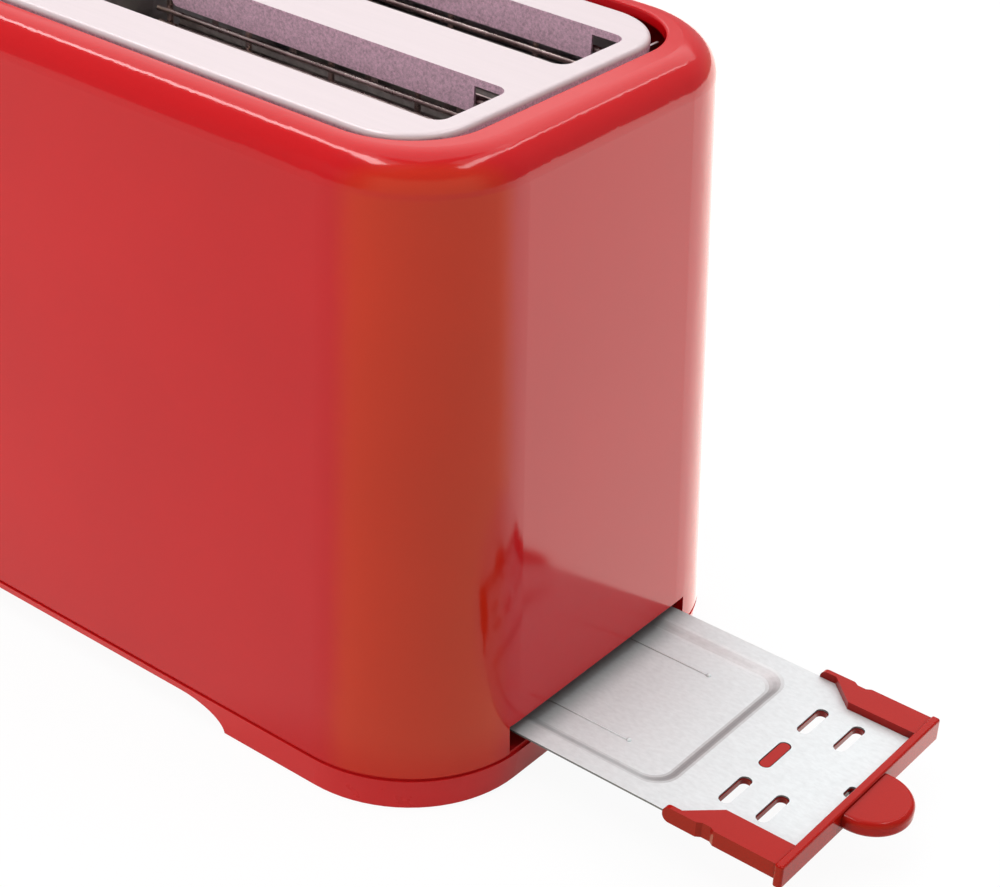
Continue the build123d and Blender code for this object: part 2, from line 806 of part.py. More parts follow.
# Lift spring between the upper tongue and the spring ear
spring_radius = 3.4
spring_wire = 0.5
spring_low = arm_high + 3.0
spring_high = flange_low - 4.0
spring_turns = 11
with BuildPart() as lift_spring:
    with BuildLine():
        spring_path = Helix(
            pitch=(spring_high - spring_low) / spring_turns,
            height=spring_high - spring_low,
            radius=spring_radius,
            center=(spring_x, spring_y, spring_low),
        )
    with BuildSketch(Plane(origin=spring_path @ 0, z_dir=spring_path % 0)):
        Circle(spring_wire)
    sweep(path=spring_path, is_frenet=True)
    for low, high, level in (
        (arm_high, spring_low, spring_low),
        (spring_high, flange_low, spring_high),
    ):
        with BuildSketch(Plane.XY.offset(low)):
            with Locations((spring_x, spring_y)):
                Circle(spring_wire)
        extrude(amount=high - low)
        with BuildSketch(Plane.YZ.offset(spring_x)):
            with Locations((spring_y, level)):
                Circle(spring_wire)
        extrude(amount=spring_radius)
        with Locations((spring_x, spring_y, level)):
            Sphere(spring_wire)
save(lift_spring, "lift_spring")

# Electromagnet that holds the carriage down
magnet_base = seam_z + chassis_sheet
pole_z = lifter_low - armature_sheet - lever_travel - 0.3
yoke_sheet = 2.0
bobbin_low = magnet_base + yoke_sheet
bobbin_high = pole_z - 1.6
core_radius = 4.0
coil_radius = 9.0

with BuildPart() as magnet_yoke:
    block(
        (magnet_x - 14.0, magnet_x + 12.0),
        (magnet_y - 9.0, magnet_y + 9.0),
        (magnet_base, magnet_base + yoke_sheet),
    )
    block(
        (magnet_x - 14.0, magnet_x - 14.0 + yoke_sheet),
        (magnet_y - 9.0, magnet_y + 9.0),
        (magnet_base, pole_z),
    )
save(magnet_yoke, "magnet_yoke")

with BuildPart() as magnet_core:
    with BuildSketch(Plane.XY.offset(bobbin_low)):
        with Locations((magnet_x, magnet_y)):
            Circle(core_radius)
    extrude(amount=pole_z - bobbin_low)
save(magnet_core, "magnet_core")

with BuildPart() as magnet_bobbin:
    for low, high, radius in (
        (bobbin_low, bobbin_low + 1.5, coil_radius + 1.0),
        (bobbin_low, bobbin_high, core_radius + 1.2),
        (bobbin_high - 1.5, bobbin_high, coil_radius + 1.0),
    ):
        with BuildSketch(Plane.XY.offset(low)):
            with Locations((magnet_x, magnet_y)):
                Circle(radius)
        extrude(amount=high - low)
    with BuildSketch(Plane.XY.offset(bobbin_low)):
        with Locations((magnet_x, magnet_y)):
            Circle(core_radius + snug)
    extrude(amount=bobbin_high, mode=Mode.SUBTRACT)
save(magnet_bobbin, "magnet_bobbin")

with BuildPart() as magnet_winding:
    with BuildSketch(Plane.XY.offset(bobbin_low + 1.5)):
        with Locations((magnet_x, magnet_y)):
            Circle(coil_radius)
            Circle(core_radius + 1.2 + snug, mode=Mode.SUBTRACT)
    extrude(amount=bobbin_high - bobbin_low - 3.0)
save(magnet_winding, "magnet_winding")

# Circuit board behind the control face, with what is soldered to it
board_face = control.offset(-board_depth)
board_back = control.offset(-board_depth - board_sheet)
sensor_height = 7.0
switch_height = 4.0
stem_entry = 0.4
shaft_radius = 3.0

with BuildPart() as circuit_board:
    with BuildSketch(board_face):
        with Locations((0, (board_low + board_high) / 2)):
            RectangleRounded(2 * board_half, board_high - board_low, 1.5)
        with Locations(*boss_places):
            Circle(1.25 + 0.15, mode=Mode.SUBTRACT)
    extrude(amount=-board_sheet)
save(circuit_board, "circuit_board")

with BuildPart() as board_screws:
    with BuildSketch(board_back):
        with Locations(*boss_places):
            Circle(2.7)
    extrude(amount=-1.8)
    with BuildSketch(board_back):
        with Locations(*boss_places):
            Circle(1.25)
    extrude(amount=board_sheet + 9.0)
save(board_screws, "board_screws")

with BuildPart() as dial_sensor:
    with BuildSketch(board_face):
        Circle(8.5)
        with Locations((0, -8.0)):
            Rectangle(13.0, 6.0)
        Circle(shaft_radius + running, mode=Mode.SUBTRACT)
    extrude(amount=sensor_height)
save(dial_sensor, "dial_sensor")

with BuildPart() as button_switches:
    with BuildSketch(board_face):
        with Locations(*button_places):
            Rectangle(6.4, 6.4)
    extrude(amount=switch_height)
    with BuildSketch(board_face.offset(switch_height - stem_entry - button_travel - loose)):
        with Locations(*button_places):
            Circle(1.6 + loose)
    extrude(amount=switch_height, mode=Mode.SUBTRACT)
save(button_switches, "button_switches")

with BuildPart() as control_chip:
    with BuildSketch(board_back):
        with Locations((-13.0, 8.0)):
            Rectangle(20.0, 8.0)
    extrude(amount=-3.2)
    chamfer(control_chip.faces().sort_by(Axis.X)[-1].edges(), 0.5)
save(control_chip, "control_chip")

with BuildPart() as capacitor:
    with BuildSketch(board_back):
        with Locations((-13.0, -8.0)):
            Circle(5.0)
    extrude(amount=-14.0)
    fillet(capacitor.edges().sort_by(Axis.X)[-1], 0.8)
save(capacitor, "capacitor")

# Browning dial and the sensor shaft it turns
dial_gap = 0.8
with BuildPart() as dial_shaft:
    with BuildSketch(board_face.offset(0.5)):
        Circle(shaft_radius)
    extrude(amount=board_depth + 7.0)
save(dial_shaft, "dial_shaft")

with BuildPart() as browning_dial:
    with BuildSketch(control.offset(dial_gap)):
        Circle(dial_radius)
    extrude(amount=dial_depth, taper=3)
    fillet(browning_dial.faces().sort_by(Axis.X)[0].edges(), 1.5)
    # Grip flutes round the rim
    with BuildSketch(control.offset(dial_gap + 2.0)):
        with PolarLocations(dial_radius + 0.5, 24):
            Circle(1.0)
    extrude(amount=dial_depth, mode=Mode.SUBTRACT)
    with BuildSketch(control.offset(dial_gap)):
        Circle(5.5)
    extrude(amount=-(wall + 3.5))
    with BuildSketch(control.offset(-wall - 4.0)):
        Circle(shaft_radius + snug)
    extrude(amount=wall + 4.0 + 7.6, mode=Mode.SUBTRACT)
    # Raised pointer on the face
    with BuildSketch(control.offset(dial_gap + dial_depth - 0.5)):
        with Locations((0, dial_radius * 0.52)):
            Rectangle(1.8, dial_radius * 0.5)
    extrude(amount=1.1)
save(browning_dial, "browning_dial")


def push_button(place):
    """Button cap in its hole, with a catch flange and a stem to its switch."""
    stem_low = board_depth - switch_height + stem_entry
    with BuildPart() as button:
        with BuildSketch(control.offset(2.6)):
            with Locations(place):
                RectangleRounded(button_width, button_height, 3.0)
        extrude(amount=-(2.6 + wall + 1.6))
        fillet(button.faces().sort_by(Axis.X)[0].edges(), 0.9)
        with BuildSketch(control.offset(-wall - loose - 0.1)):
            with Locations(place):
                RectangleRounded(button_width + 3.0, button_height + 3.0, 3.5)
        extrude(amount=-1.2)
        with BuildSketch(control.offset(-wall - 1.0)):
            with Locations(place):
                Circle(1.6)
        extrude(amount=-(stem_low - wall - 1.0))
    return button


for name, place in zip(("defrost_button", "cancel_button", "reheat_button"), button_places):
    save(push_button(place), name)

# Main switch beside the magnet: moulded block and two leaf contacts
switch_x = tongue_end + 13.0
switch_y = -13.0
switch_top = seam_z + chassis_sheet + 15.0
leaf_sheet = 0.5
with BuildPart() as switch_block:
    block(
        (switch_x - 7.0, switch_x + 7.0),
        (switch_y - 7.0, switch_y + 7.0),
        (seam_z + chassis_sheet, switch_top),
    )
    for shift in (-3.0, 3.0):
        block(
            (switch_x + shift - leaf_sheet / 2 - snug, switch_x + shift + leaf_sheet / 2 + snug),
            (switch_y - 4.0 - snug, switch_y + 4.0 + snug),
            (switch_top - 6.0, switch_top + 1),
            Mode.SUBTRACT,
        )
save(switch_block, "switch_block")

with BuildPart() as switch_leaves:
    for shift in (-3.0, 3.0):
        block(
            (switch_x + shift - leaf_sheet / 2, switch_x + shift + leaf_sheet / 2),
            (switch_y - 4.0, switch_y + 4.0),
            (switch_top - 6.0, switch_top + 18.0),
        )
    for shift, way in ((-3.0, 1), (3.0, -1)):
        with BuildSketch(Plane.YZ.offset(switch_x + shift)):
            with Locations((switch_y, switch_top + 14.0)):
                Circle(2.0)
        extrude(amount=way * 1.4)
save(switch_leaves, "switch_leaves")

# Terminal block for the mains lead, on the base by the gland
terminal_y = gland_y - 15.0
terminal_top = seam_z + 12.0
with BuildPart() as terminal_block:
    block(
        (gland_x - 12.0, gland_x + 12.0), (terminal_y - 7.0, terminal_y + 7.0), (seam_z, terminal_top)
    )
    for shift in (-7.5, 0.0, 7.5):
        with BuildSketch(Plane.XZ.offset(-terminal_y - 8.0)):
            with Locations((gland_x + shift, seam_z + 5.0)):
                Circle(1.6)
        extrude(amount=16.0, mode=Mode.SUBTRACT)
        with BuildSketch(Plane.XY.offset(terminal_top + 1)):
            with Locations((gland_x + shift, terminal_y)):
                Circle(2.0)
        extrude(amount=-5.0, mode=Mode.SUBTRACT)
save(terminal_block, "terminal_block")

# Cord gland clipped in the base floor
with BuildPart() as cord_gland:
    for low, high, radius in (
        (floor_z - 2.4, floor_z, cord_hole_radius + 3.6),
        (floor_z, seam_z, cord_hole_radius + 2.0),
        (seam_z, seam_z + 2.4, cord_hole_radius + 3.0),
    ):
        with BuildSketch(Plane.XY.offset(low)):
            with Locations((gland_x, gland_y)):
                Circle(radius)
        extrude(amount=high - low)
    chamfer(cord_gland.edges().group_by(Axis.Z)[0], 0.8)
    with BuildSketch(Plane.XY.offset(floor_z - 4)):
        with Locations((gland_x, gland_y)):
            Circle(cord_hole_radius)
    extrude(amount=base_floor + 10, mode=Mode.SUBTRACT)
save(cord_gland, "cord_gland")

# Leads from the terminal block to the main switch, the back heater and the circuit board
lead_radius = 1.2


def lead(points, bend):
    """Round insulated lead through the given points with bent corners."""
    with BuildPart() as wire:
        with BuildLine() as route:
            FilletPolyline(*points, radius=bend)
        start = Plane(origin=route.line @ 0, z_dir=route.line % 0)
        with BuildSketch(start):
            Circle(lead_radius)
        sweep(path=route.line)
    return wire.part


lead_x = web_lever - chassis_sheet - lead_radius - 0.1
lead_z = seam_z + 5.0
lead_bend = 4.0
board_lead_y = tongue_half + 2.0
board_lead_z = dial_z - 10.0
board_lead_end = board_back.from_local_coords((-board_lead_y, -10.0, 0)).X + 0.2
leads = [
    lead(
        [
            (gland_x - 7.5, terminal_y, lead_z),
            (gland_x - 7.5, tongue_half + 10.0, lead_z),
            (gland_x - 7.5, tongue_half, lead_z + 9.0),
            (gland_x - 7.5, switch_y + 7.0 + 0.1, lead_z + 9.0),
        ],
        lead_bend,
    ),
    lead(
        [
            (gland_x + 7.5, terminal_y, lead_z),
            (gland_x + 7.5, slot_centre + 10.0, lead_z),
            (lead_x, slot_centre + 10.0, lead_z),
            (lead_x, slot_centre + 10.0, tab_levels[0] + 6.0),
        ],
        lead_bend,
    ),
    lead(
        [
            (gland_x, terminal_y, lead_z),
            (gland_x, board_lead_y, lead_z),
            (gland_x, board_lead_y, board_lead_z),
            (board_lead_end, board_lead_y, board_lead_z),
        ],
        lead_bend,
    ),
]
with BuildPart() as internal_leads:
    for piece in leads:
        add(piece)
save(internal_leads, "internal_leads")

# Crumb tray: flat sheet with a shallow pan, two beads and slots near the handle
tray_slot_length = 13.4
tray_slot_width = 3.8
edge_slot_length = 5.2
edge_slot_width = 2.8
slot_row_far = bar_back - 25.2
slot_row_near = bar_back - 13.6
slot_side = 19.6
stud_place = (slot_row_far, 0)
tray_slots = [(x, y) for x in (slot_row_far, slot_row_near) for y in (-slot_side, slot_side)]
edge_slot = (bar_back - edge_slot_width / 2 - 0.1, 0)
pan_x0 = tray_end + 7.0
pan_x1 = bar_back - pan_front_margin
pan_length = pan_x1 - pan_x0
pan_width = tray_width - 2 * pan_side_margin
pan_corner = 8.0
pan_steps = (0.0, 0.2, 0.4, 0.6, 0.8, 1.0)
bead_y = 19.6
bead_end = bar_back - 59.6
bead_start = pan_x0 + pan_slope + 2.0
bead_radius = 0.35


def pan_block(top_z):
    """Block the size of the pan with a soft step round it, its wide end at height top_z."""
    with BuildPart() as pan:
        for part in pan_steps:
            depth = pan_depth * part * part * (3 - 2 * part)
            shrink = pan_slope * part
            with BuildSketch(Plane.XY.offset(top_z - depth)):
                with Locations(((pan_x0 + pan_x1) / 2, 0)):
                    RectangleRounded(
                        pan_length - 2 * shrink, pan_width - 2 * shrink, pan_corner - shrink / 2
                    )
        loft(ruled=True)
    return pan.part


pan_outside = pan_block(tray_top - tray_sheet)
pan_inside = pan_block(tray_top)

with BuildPart() as crumb_tray:
    with BuildSketch(Plane.XY.offset(tray_top - tray_sheet)):
        with Locations(((tray_end + bar_back) / 2, 0)):
            Rectangle(bar_back - tray_end, tray_width)
    extrude(amount=tray_sheet)
    add(pan_outside)
    add(pan_inside, mode=Mode.SUBTRACT)
    for side in (-1, 1):
        with BuildSketch(Plane.YZ.offset(bead_start)):
            with Locations((side * bead_y, tray_top - pan_depth)):
                Circle(bead_radius)
        extrude(amount=bead_end - bead_start)
        with Locations((bead_end, side * bead_y, tray_top - pan_depth)):
            Sphere(2 * bead_radius)
        block(
            (pan_x0, pan_x1),
            sorted((side * (bead_y - 2.0), side * (bead_y + 2.0))),
            (tray_top - pan_depth - tray_sheet - 2.0, tray_top - pan_depth - tray_sheet),
            Mode.SUBTRACT,
        )
    with BuildSketch(Plane.XY.offset(tray_top + 1)):
        with Locations(*tray_slots, stud_place):
            SlotOverall(tray_slot_length, tray_slot_width, rotation=90)
        with Locations(edge_slot):
            SlotOverall(edge_slot_length, edge_slot_width, rotation=90)
    extrude(amount=-4, mode=Mode.SUBTRACT)
save(crumb_tray, "crumb_tray")

# Handle moulded round the front of the tray
grip_gap = 0.04
slot_lip = 0.6
bar_round = 0.7
notch_depth = 0.9
under_high = tray_top - tray_sheet - grip_gap
over_low = tray_top + grip_gap

with BuildPart() as crumb_tray_handle:
    # Front bar with rounded edges
    block((bar_back, bar_front), (-bar_width / 2, bar_width / 2), (bar_low, bar_high))
    fillet(crumb_tray_handle.edges(), bar_round)
    # Arms over the long edges, each with a narrow finger and a catch notch in its outer side
    for side in (-1, 1):
        with BuildSketch(Plane.XY.offset(arm_low)):
            with BuildLine():
                Polyline(
                    (bar_back + bar_round, side * arm_inner),
                    (bar_back - 21.0, side * arm_inner),
                    (bar_back - 29.5, side * (arm_outer - finger_width)),
                    (arm_tip, side * (arm_outer - finger_width)),
                    (arm_tip, side * arm_outer),
                    (bar_back - 24.2, side * arm_outer),
                    (bar_back - 22.8, side * (arm_outer - notch_depth)),
                    (bar_back - 20.2, side * (arm_outer - notch_depth)),
                    (bar_back - 18.8, side * arm_outer),
                    (bar_back + bar_round, side * arm_outer),
                    close=True,
                )
            make_face()
        extrude(amount=arm_top - arm_low)
    finger_ends = crumb_tray_handle.edges().filter_by(Axis.Y).group_by(Axis.X)[0]
    fillet(finger_ends, (arm_top - arm_low) / 2 - 0.2)
    # Plate under the sheet
    block((bar_back - 29.0, bar_back + bar_round), (-arm_inner, arm_inner), (arm_low, under_high))
    # Room for the sheet
    block(
        (arm_tip - 2, bar_back),
        (-tray_half - grip_gap, tray_half + grip_gap),
        (under_high, over_low),
        Mode.SUBTRACT,
    )
    # Slots through the plate, and the stud that fills the middle slot of the sheet
    with BuildSketch(Plane.XY.offset(arm_low - 1)):
        with Locations(*tray_slots):
            SlotOverall(tray_slot_length - slot_lip, tray_slot_width - slot_lip, rotation=90)
        with Locations(edge_slot):
            SlotOverall(edge_slot_length - slot_lip, edge_slot_width - slot_lip, rotation=90)
    extrude(amount=under_high - arm_low + 1, mode=Mode.SUBTRACT)
    with BuildSketch(Plane.XY.offset(arm_low)):
        with Locations(stud_place):
            SlotOverall(tray_slot_length - slot_lip, tray_slot_width - slot_lip, rotation=90)
    extrude(amount=tray_top - 0.1 - arm_low)
    # Half round pull tab
    tab_radius = tab_width / 2
    with BuildSketch(Plane.XY.offset(tab_low)):
        with Locations((bar_front + tab_reach - tab_radius, 0)):
            Circle(tab_radius)
        with Locations((bar_front + (tab_reach - tab_radius - bar_round) / 2, 0)):
            Rectangle(tab_reach - tab_radius + bar_round, tab_width)
        with Locations((bar_front - bar_round - tab_radius, 0)):
            Rectangle(tab_width, 2 * tab_width, mode=Mode.SUBTRACT)
    extrude(amount=tab_high - tab_low)
    tab_rims = crumb_tray_handle.edges().filter_by(
        lambda e: e.center().X > bar_front + 1 and e.geom_type == GeomType.CIRCLE
    )
    fillet(tab_rims.filter_by_position(Axis.Z, tab_low - 0.1, tab_high + 0.1), 1.6)
save(crumb_tray_handle, "crumb_tray_handle")
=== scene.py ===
"""Looks of the pop up toaster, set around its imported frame. Metres, +Z up."""
import json
import math

import bpy
from mathutils import Matrix, Vector


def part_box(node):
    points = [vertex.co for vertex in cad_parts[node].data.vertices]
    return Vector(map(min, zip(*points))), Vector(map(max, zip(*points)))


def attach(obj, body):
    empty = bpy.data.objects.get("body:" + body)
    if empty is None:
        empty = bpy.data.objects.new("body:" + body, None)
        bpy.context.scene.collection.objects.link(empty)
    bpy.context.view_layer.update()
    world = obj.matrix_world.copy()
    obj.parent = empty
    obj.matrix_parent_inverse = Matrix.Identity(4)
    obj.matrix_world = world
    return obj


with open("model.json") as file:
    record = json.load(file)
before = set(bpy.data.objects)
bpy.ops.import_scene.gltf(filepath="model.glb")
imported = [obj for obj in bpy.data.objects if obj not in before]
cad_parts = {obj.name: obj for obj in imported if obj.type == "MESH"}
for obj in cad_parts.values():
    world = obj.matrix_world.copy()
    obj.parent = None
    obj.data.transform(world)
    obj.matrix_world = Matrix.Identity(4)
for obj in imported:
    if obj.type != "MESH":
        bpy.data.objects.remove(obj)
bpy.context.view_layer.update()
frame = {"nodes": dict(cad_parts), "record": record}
nodes = frame["nodes"]

shell_low, shell_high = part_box("body_shell")
plate_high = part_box("top_plate")[1]
handle_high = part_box("crumb_tray_handle")[1]


# Node helpers
def blank_material(name):
    """New material with its tree and main shader."""
    made = bpy.data.materials.new(name)
    made.use_nodes = True
    return made, made.node_tree, made.node_tree.nodes["Principled BSDF"]


def feed(tree, value, socket):
    """Link an output to a socket, or set the socket to a constant."""
    if isinstance(value, bpy.types.NodeSocket):
        tree.links.new(value, socket)
    else:
        socket.default_value = value


def place_coordinates(tree, stretch=(1, 1, 1)):
    """Coordinates of the piece itself, in metres, stretched per axis."""
    source = tree.nodes.new("ShaderNodeTexCoord")
    mapping = tree.nodes.new("ShaderNodeMapping")
    mapping.inputs["Scale"].default_value = stretch
    tree.links.new(source.outputs["Object"], mapping.inputs["Vector"])
    return mapping.outputs["Vector"]


def noise(tree, vector, scale, detail=3.0, roughness=0.5):
    """Soft noise from 0 to 1."""
    made = tree.nodes.new("ShaderNodeTexNoise")
    made.inputs["Scale"].default_value = scale
    made.inputs["Detail"].default_value = detail
    made.inputs["Roughness"].default_value = roughness
    tree.links.new(vector, made.inputs["Vector"])
    return made.outputs["Fac"]


def shade(colour, factor):
    """A colour made lighter or darker by a factor."""
    return tuple(min(1.0, channel * factor) for channel in colour)


def colour_ramp(tree, factor, stops):
    """Colours laid out over a factor, as (position, colour) stops."""
    made = tree.nodes.new("ShaderNodeValToRGB")
    ramp = made.color_ramp
    while len(ramp.elements) < len(stops):
        ramp.elements.new(0.5)
    for element, (position, colour) in zip(ramp.elements, stops):
        element.position = position
        element.color = (*colour, 1.0)
    tree.links.new(factor, made.inputs["Fac"])
    return made.outputs["Color"]


def tones(tree, factor, colour, dark, light, start=0.3, stop=0.7):
    """A darker and a lighter tone of a colour, laid out over a factor."""
    return colour_ramp(tree, factor, [(start, shade(colour, dark)), (stop, shade(colour, light))])


def span(tree, value, start=0.0, stop=1.0, low=0.0, high=1.0, smooth=False):
    """Value from start to stop spread from low to high, and held beyond both."""
    made = tree.nodes.new("ShaderNodeMapRange")
    made.interpolation_type = "SMOOTHSTEP" if smooth else "LINEAR"
    made.inputs["From Min"].default_value = start
    made.inputs["From Max"].default_value = stop
    made.inputs["To Min"].default_value = low
    made.inputs["To Max"].default_value = high
    tree.links.new(value, made.inputs["Value"])
    return made.outputs["Result"]


def noise_span(tree, value, low, high):
    """Middle half of a noise spread from low to high."""
    return span(tree, value, start=0.25, stop=0.75, low=low, high=high)


def arithmetic(tree, operation, first, second=0.0):
    """Arithmetic on values, each an output or a constant."""
    made = tree.nodes.new("ShaderNodeMath")
    made.operation = operation
    feed(tree, first, made.inputs[0])
    feed(tree, second, made.inputs[1])
    return made.outputs["Value"]


def vectors(tree, operation, first, second=(0.0, 0.0, 0.0)):
    """Arithmetic on vectors, each an output or a constant."""
    made = tree.nodes.new("ShaderNodeVectorMath")
    made.operation = operation
    feed(tree, first, made.inputs[0])
    feed(tree, second, made.inputs[1])
    return made.outputs["Value" if operation in ("DOT_PRODUCT", "LENGTH") else "Vector"]


def split(tree, vector):
    """Outputs X, Y and Z of a vector."""
    made = tree.nodes.new("ShaderNodeSeparateXYZ")
    tree.links.new(vector, made.inputs["Vector"])
    return made.outputs


def blend(tree, factor, first, second, kind="MIX"):
    """Colour blended from the first to the second, each an output or a constant."""
    made = tree.nodes.new("ShaderNodeMix")
    made.data_type = "RGBA"
    made.blend_type = kind
    feed(tree, factor, made.inputs["Factor"])
    feed(tree, first, made.inputs["A"])
    feed(tree, second, made.inputs["B"])
    return made.outputs["Result"]


def bump(tree, shader, height, strength, distance):
    """Small relief from a height, on the shader's normal."""
    made = tree.nodes.new("ShaderNodeBump")
    made.inputs["Strength"].default_value = strength
    made.inputs["Distance"].default_value = distance
    tree.links.new(height, made.inputs["Height"])
    tree.links.new(made.outputs["Normal"], shader.inputs["Normal"])


def heading(degrees):
    """Level direction at an angle from +X."""
    turn = math.radians(degrees)
    return (math.cos(turn), math.sin(turn), 0.0)


# Materials
def painted_corner_reflection(tree, flat, reflected_colour):
    """Flat colour on the walls and a painted reflection colour on the upright corners of the tray's end.
    """
    normal = split(tree, tree.nodes.new("ShaderNodeNewGeometry").outputs["Normal"])
    along = arithmetic(tree, "MAXIMUM", normal["X"], 0.0)
    across = arithmetic(tree, "ABSOLUTE", normal["Y"])
    turned = arithmetic(tree, "MULTIPLY", along, across)
    return blend(tree, span(tree, turned, start=0.08, stop=0.28, smooth=True), flat, reflected_colour)


def moulded_plastic(name, colour, gloss, grain, peel, shine=0.5, bend=None, crease=None):
    """Moulded plastic: faint cloudiness, fine speckle and a slightly wavy skin.

    A corner reflection colour paints a reflection tone on the corners of the tray's end. A crease
    distance paints shade that darkens inner edges.
    """
    made, tree, shader = blank_material(name)
    vector = place_coordinates(tree)
    clouds = noise(tree, vector, scale=14.0, detail=4.0)
    tinted = tones(tree, clouds, colour, dark=0.96, light=1.04)
    # Painted reflection: a browner tone on the upright corners at the tray's end
    if bend:
        tinted = painted_corner_reflection(tree, tinted, tones(tree, clouds, bend, dark=0.96, light=1.04))
    speckle = noise(tree, vector, scale=2600.0, detail=2.0)
    speckled = tones(tree, speckle, (1.0, 1.0, 1.0), dark=0.72, light=1.0)
    tinted = blend(tree, grain, tinted, speckled, "MULTIPLY")
    # Painted shade: ambient occlusion darkens the colour in creases and inner edges
    if crease:
        crease_shade = tree.nodes.new("ShaderNodeAmbientOcclusion")
        crease_shade.samples = 8
        crease_shade.inputs["Distance"].default_value = crease
        tree.links.new(tinted, crease_shade.inputs["Color"])
        tinted = crease_shade.outputs["Color"]
    tree.links.new(tinted, shader.inputs["Base Color"])
    smears = noise(tree, vector, scale=60.0, detail=5.0)
    tree.links.new(noise_span(tree, smears, gloss * 0.85, gloss * 1.2), shader.inputs["Roughness"])
    shader.inputs["IOR"].default_value = 1.5
    shader.inputs["Specular IOR Level"].default_value = shine
    bump(tree, shader, noise(tree, vector, scale=420.0, detail=2.0), strength=peel, distance=0.00004)
    return made


def folded_sheet(name, face, fold_reflection, rough):
    """Satin sheet, bright on its flat face, with a mottled painted reflection tone on the folds that
    stand upright.
    """
    made, tree, shader = blank_material(name)
    lines = noise(tree, place_coordinates(tree, (0.05, 1, 1)), scale=900.0, detail=4.0)
    mottle = noise(tree, place_coordinates(tree), scale=1300.0, detail=4.0, roughness=0.7)
    flat = tones(tree, lines, face, dark=0.98, light=1.02, start=0.25, stop=0.75)
    # Painted reflection: the upright folds get a mottled purple tone
    upright_reflection = colour_ramp(
        tree, mottle, [(0.3, shade(fold_reflection, 0.66)), (0.5, fold_reflection), (0.7, shade(fold_reflection, 1.3))]
    )
    normal = split(tree, tree.nodes.new("ShaderNodeNewGeometry").outputs["Normal"])
    facing_up = span(tree, normal["Z"], start=0.02, stop=0.2)
    tree.links.new(blend(tree, facing_up, upright_reflection, flat), shader.inputs["Base Color"])
    tree.links.new(span(tree, facing_up, low=0.3, high=0.2), shader.inputs["Metallic"])
    tree.links.new(span(tree, facing_up, low=0.5, high=rough), shader.inputs["Roughness"])
    shader.inputs["Specular IOR Level"].default_value = 0.15
    bump(tree, shader, lines, strength=0.2, distance=0.00003)
    return made


def pressed_sheet(name, colour, rough, grain, mouth):
    """Pressed sheet with painted shade on its upright cut edges and on slopes leaning one way, and a
    painted shadow behind the housing's mouth.
    """
    made, tree, shader = blank_material(name)
    lines = noise(tree, place_coordinates(tree, (0.6, 1, 1)), scale=900.0, detail=4.0)
    blotches = noise(tree, place_coordinates(tree), scale=35.0, detail=4.0)
    clean = tones(tree, lines, colour, dark=1.0 - grain, light=1.0 + grain, start=0.25, stop=0.75)
    normal = tree.nodes.new("ShaderNodeNewGeometry").outputs["Normal"]
    # Painted shade: faces leaning toward this side are darkened
    dark_side = (-0.86, 0.51, 0.0)
    shade_lean = vectors(tree, "DOT_PRODUCT", normal, dark_side)
    slope_shade = span(tree, shade_lean, start=-0.1, stop=0.4, low=1.14, high=0.44)
    # Painted shade on upright faces such as the cut edges
    edge_shade = span(tree, split(tree, normal)["Z"], start=0.05, stop=0.25, low=0.25)
    # Painted shadow of the housing: the sheet darkens behind its mouth
    along = split(tree, place_coordinates(tree))["X"]
    past_mouth = span(tree, along, start=mouth - 0.004, stop=mouth + 0.009, smooth=True)
    mouth_shadow, bare = (0.29, 0.27, 0.27), (1.0, 1.0, 1.0)
    shadowed = colour_ramp(tree, past_mouth, [(0.0, mouth_shadow), (1.0, bare)])
    # Painted shade and shadow, multiplied into the colour
    painted_shade = tree.nodes.new("ShaderNodeVectorMath")
    painted_shade.operation = "SCALE"
    tree.links.new(shadowed, painted_shade.inputs["Vector"])
    tree.links.new(arithmetic(tree, "MULTIPLY", slope_shade, edge_shade), painted_shade.inputs["Scale"])
    tinted = blend(tree, 1.0, clean, painted_shade.outputs["Vector"], "MULTIPLY")
    tree.links.new(tinted, shader.inputs["Base Color"])
    tree.links.new(noise_span(tree, blotches, rough * 0.88, rough * 1.12), shader.inputs["Roughness"])
    shader.inputs["Metallic"].default_value = 0.2
    bump(tree, shader, lines, strength=0.25, distance=0.00003)
    return made


def spangled_sheet(name, colour):
    """Zinc coated sheet with its patchwork of crystals."""
    made, tree, shader = blank_material(name)
    cells = tree.nodes.new("ShaderNodeTexVoronoi")
    cells.inputs["Scale"].default_value = 160.0
    tree.links.new(place_coordinates(tree), cells.inputs["Vector"])
    patch = tree.nodes.new("ShaderNodeSeparateColor")
    tree.links.new(cells.outputs["Color"], patch.inputs["Color"])
    tinted = tones(tree, patch.outputs["Red"], colour, dark=0.82, light=1.15, start=0.0, stop=1.0)
    tree.links.new(tinted, shader.inputs["Base Color"])
    tree.links.new(noise_span(tree, patch.outputs["Green"], 0.32, 0.48), shader.inputs["Roughness"])
    shader.inputs["Metallic"].default_value = 1.0
    return made


def drawn_wire(name, bright, dark, rough):
    """Drawn wire and turned steel with faint heat colour."""
    made, tree, shader = blank_material(name)
    tint = noise(tree, place_coordinates(tree), scale=70.0, detail=4.0)
    tree.links.new(colour_ramp(tree, tint, [(0.35, dark), (0.65, bright)]), shader.inputs["Base Color"])
    fine = noise(tree, place_coordinates(tree, (0.2, 0.2, 0.2)), scale=3000.0, detail=2.0)
    tree.links.new(noise_span(tree, fine, rough * 0.8, rough * 1.25), shader.inputs["Roughness"])
    shader.inputs["Metallic"].default_value = 1.0
    return made


def mica_sheet(name, dark, light):
    """Mica with flakes and faint layers."""
    made, tree, shader = blank_material(name)
    flakes = noise(tree, place_coordinates(tree), scale=240.0, detail=6.0, roughness=0.65)
    tree.links.new(colour_ramp(tree, flakes, [(0.35, dark), (0.7, light)]), shader.inputs["Base Color"])
    tree.links.new(noise_span(tree, flakes, 0.35, 0.6), shader.inputs["Roughness"])
    bump(tree, shader, flakes, strength=0.3, distance=0.00008)
    return made


wave_length = 0.314  # of the wave texture at a scale of 1


